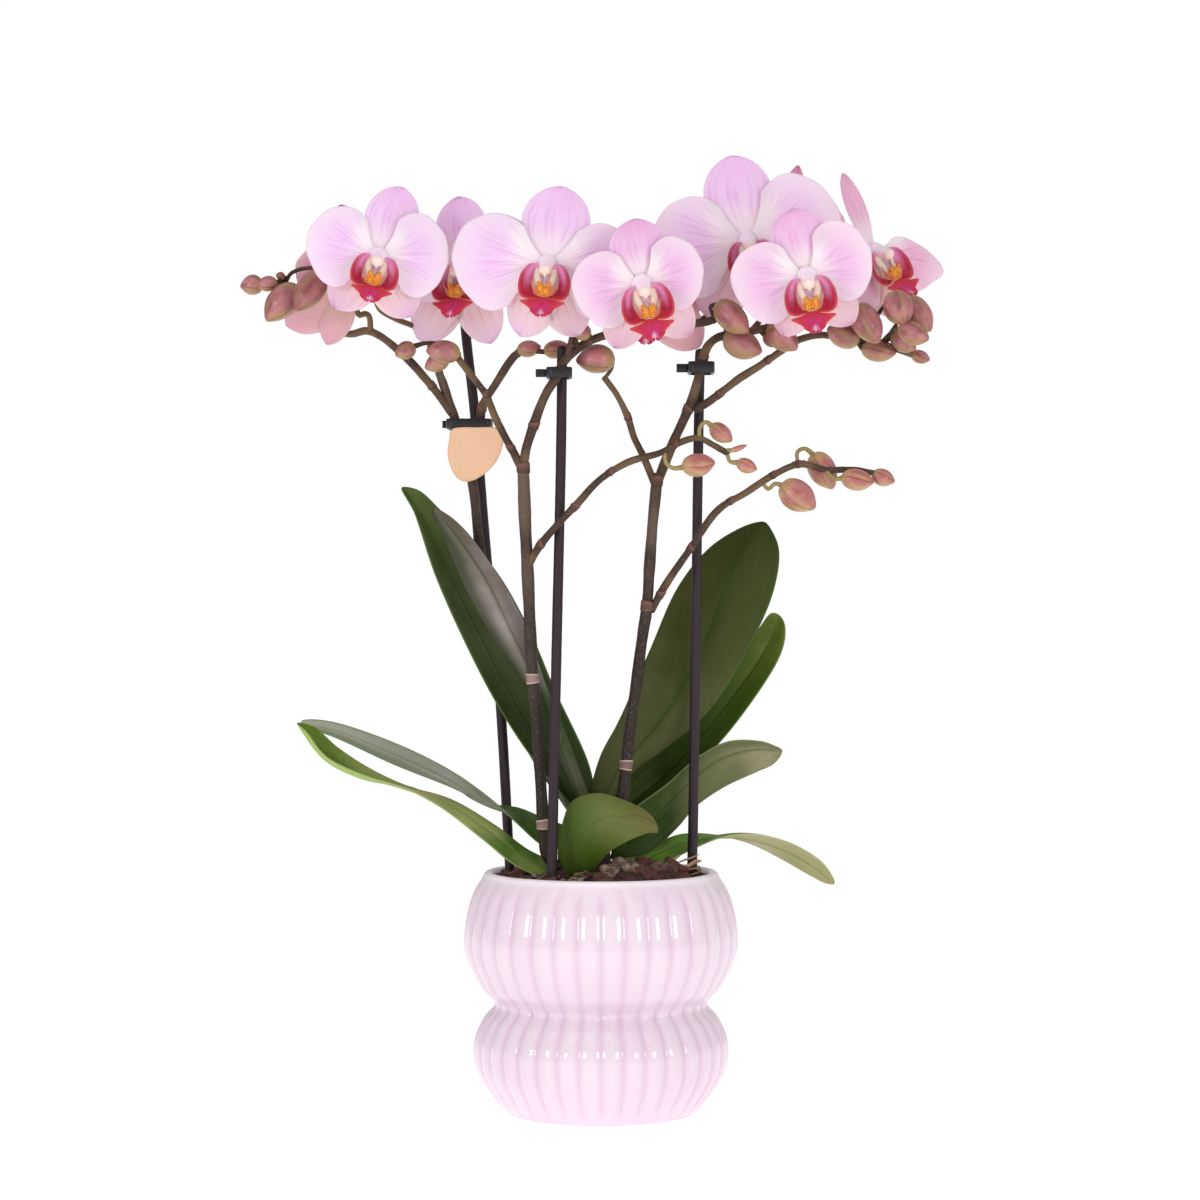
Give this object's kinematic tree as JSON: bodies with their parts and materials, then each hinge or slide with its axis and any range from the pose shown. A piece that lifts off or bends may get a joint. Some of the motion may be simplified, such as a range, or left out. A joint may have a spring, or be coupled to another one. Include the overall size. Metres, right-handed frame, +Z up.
{
  "type": "potted moth orchid",
  "caption": "Moth orchid with arching flower spikes on sticks, strap leaves and pink blooms, in bark in a ribbed double-bulge ceramic pot.",
  "frame": {"origin": "middle of the pot's flat base, which rests on the table", "axes": "+Z up along the pot's axis, -Y towards the front of the plant, +X to the viewer's right"},
  "size_m": [0.3127, 0.1297, 0.4182],
  "materials": {
    "glaze": "gloss",
    "plastic_pot": "satin",
    "bark": "matte",
    "leaf": "satin",
    "leaf_underside": "satin",
    "leaf_light": "satin",
    "stem": "satin",
    "petal": "matte",
    "lip": "satin",
    "stick": "satin",
    "clip_plastic": "satin",
    "kraft": "matte"
  },
  "bodies": {
    "root": {"pot": "glaze", "grow_pot": "plastic_pot", "bark": "bark", "crown": "stem", "leaf_left_tall_back": "leaf", "leaf_right_large": "leaf", "leaf_right_back": "leaf", "leaf_left_tall_front": "leaf_underside", "leaf_left_low_back": "leaf_underside", "leaf_right_middle": "leaf_underside", "leaf_left_low_front": "leaf_light", "leaf_right_low": "leaf_light", "leaf_front_short": "leaf_light", "spike_left": "stem", "spike_centre": "stem", "spike_right": "stem", "stake_left": "stick", "stake_centre": "stick", "stake_right": "stick", "clip_left": "clip_plastic", "clip_centre": "clip_plastic", "clip_right": "clip_plastic", "tag": "kraft", "bloom_1": "petal", "bloom_2": "petal", "bloom_3": "petal", "bloom_4": "petal", "bloom_5": "petal", "bloom_6": "petal", "bloom_7": "petal", "bloom_8": "petal", "bloom_9": "petal", "bloom_10": "petal", "lip_1": "lip", "lip_2": "lip", "lip_3": "lip", "lip_4": "lip", "lip_5": "lip", "lip_6": "lip", "lip_7": "lip", "lip_8": "lip", "lip_9": "lip", "lip_10": "lip"}
  },
  "joints": []
}
